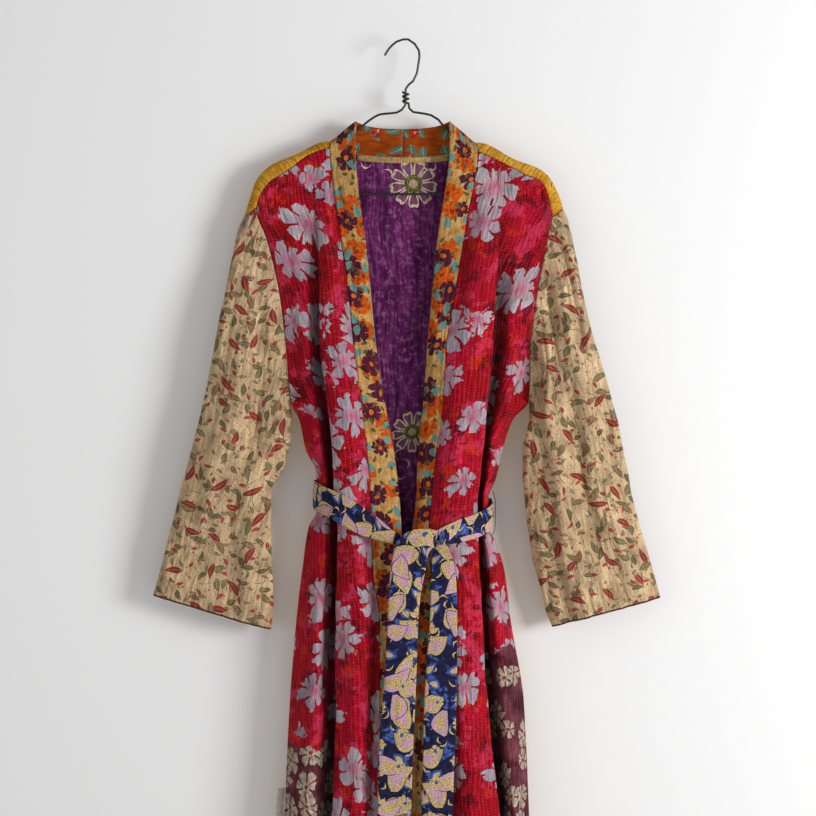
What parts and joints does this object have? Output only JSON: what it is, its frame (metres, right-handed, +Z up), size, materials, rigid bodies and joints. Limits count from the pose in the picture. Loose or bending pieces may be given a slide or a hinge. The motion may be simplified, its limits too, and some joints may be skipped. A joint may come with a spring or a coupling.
{
  "type": "long patchwork robe on a wire hanger",
  "caption": "Long quilted patchwork kimono robe with wide sleeves, a contrasting neckband and a tied fabric belt, hanging open at the neck on a bent wire hanger.",
  "frame": {"origin": "inside of the crown of the hanger's hook, where a pin or a rail carries it", "axes": "+Z up along the robe's length, +Y from the robe's front to its back, +X across it, towards the right as it is seen from the front"},
  "size_m": [0.71, 0.1007, 1.3674],
  "materials": {
    "quilt_back": "quilted cotton, mustard outside and purple inside",
    "quilt_front": "quilted cotton, crimson with pale flowers",
    "quilt_sleeve": "quilted cotton, beige with red leaves",
    "neckband": "folded cotton, ochre with flowers",
    "tape": "narrow woven tape",
    "belt": "printed cotton, blue and gold",
    "loop": "twisted cotton cord",
    "tab": "plain woven tab",
    "wire": "black coated wire"
  },
  "bodies": {
    "root": {"back": "quilt_back", "front_left": "quilt_front", "front_right": "quilt_front", "sleeve_left": "quilt_sleeve", "sleeve_right": "quilt_sleeve", "neckband_left": "neckband", "neckband_right": "neckband", "neck_tape": "tape", "belt_wrap": "belt", "belt_knot": "belt", "belt_tail": "belt", "belt_loop": "loop", "side_tab": "tab", "hanger": "wire"}
  },
  "joints": []
}
